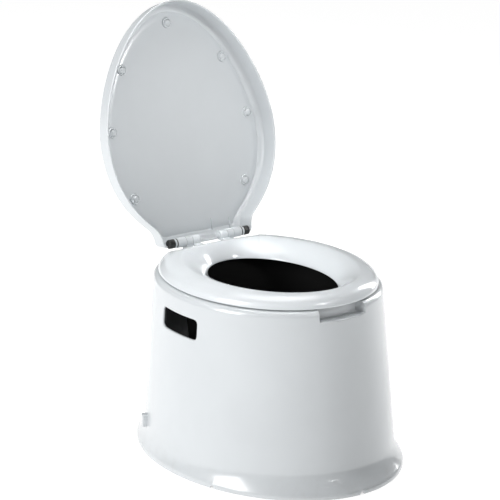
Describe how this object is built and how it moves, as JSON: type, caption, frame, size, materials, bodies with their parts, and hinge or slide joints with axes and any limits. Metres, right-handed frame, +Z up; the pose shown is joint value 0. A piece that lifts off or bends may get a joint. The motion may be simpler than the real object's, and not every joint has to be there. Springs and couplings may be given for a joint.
{
  "type": "portable camping toilet",
  "caption": "Portable camping toilet: oval tapered shell with hinged seat and lid over a loose round bucket with a bail handle.",
  "frame": {"origin": "centre of the shell's oval footprint, on the floor", "axes": "+Z up, -Y towards the front of the seat, +X towards the left hand side of a person who sits on it"},
  "size_m": [0.384, 0.5523, 0.6856],
  "materials": {
    "shell_plastic": "smooth glossy cool white polypropylene",
    "seat_plastic": "smooth glossy white polypropylene",
    "lid_plastic": "white polypropylene, satin inside and glossy outside",
    "hinge_plastic": "white moulded plastic",
    "cap_plastic": "black moulded plastic, satin",
    "bucket_plastic": "black moulded plastic, fine sheen",
    "grip_plastic": "black moulded plastic with fine ribs",
    "buffer_rubber": "soft dark rubber",
    "wire_steel": "zinc-plated drawn wire",
    "screw_steel": "bright steel screw heads"
  },
  "bodies": {
    "bucket": {"bucket": "bucket_plastic"},
    "bail": {"bail_handle": "wire_steel", "bail_grip": "grip_plastic"},
    "shell": {"outer_shell": "shell_plastic", "hinge_bracket_left": "hinge_plastic", "hinge_bracket_right": "hinge_plastic", "bracket_screws": "screw_steel"},
    "seat": {"seat_ring": "seat_plastic", "seat_buffers": "buffer_rubber"},
    "lid": {"lid_shell": "lid_plastic"},
    "pin_left": {"hinge_pin_left": "hinge_plastic", "hinge_washer_left": "cap_plastic", "hinge_cap_left": "cap_plastic"},
    "pin_right": {"hinge_pin_right": "hinge_plastic", "hinge_washer_right": "cap_plastic", "hinge_cap_right": "cap_plastic"}
  },
  "joints": [
    {"name": "shell_lift", "type": "slide", "parent": "bucket", "child": "shell", "axis": [0, 0, 1], "range_m": [0, 0.42]},
    {"name": "bail_swing", "type": "hinge", "parent": "bucket", "child": "bail", "pos_m": [0, -0.011, 0.262], "axis": [-1, 0, 0], "range_deg": [0, 90]},
    {"name": "lid_hinge", "type": "hinge", "parent": "shell", "child": "lid", "pos_m": [0, 0.171, 0.308], "axis": [-1, 0, 0], "range_deg": [-104.5, 0]},
    {"name": "seat_hinge", "type": "hinge", "parent": "shell", "child": "seat", "pos_m": [0, 0.171, 0.308], "axis": [-1, 0, 0], "range_deg": [0, 95]},
    {"name": "pin_left_turn", "type": "hinge", "parent": "shell", "child": "pin_left", "pos_m": [-0.045, 0.171, 0.308], "axis": [1, 0, 0], "continuous": true},
    {"name": "pin_right_turn", "type": "hinge", "parent": "shell", "child": "pin_right", "pos_m": [0.045, 0.171, 0.308], "axis": [1, 0, 0], "continuous": true}
  ],
  "couplings": [
    {"joint": "bail_swing", "follows": "shell_lift", "rad_per_m": 3.7399}
  ]
}
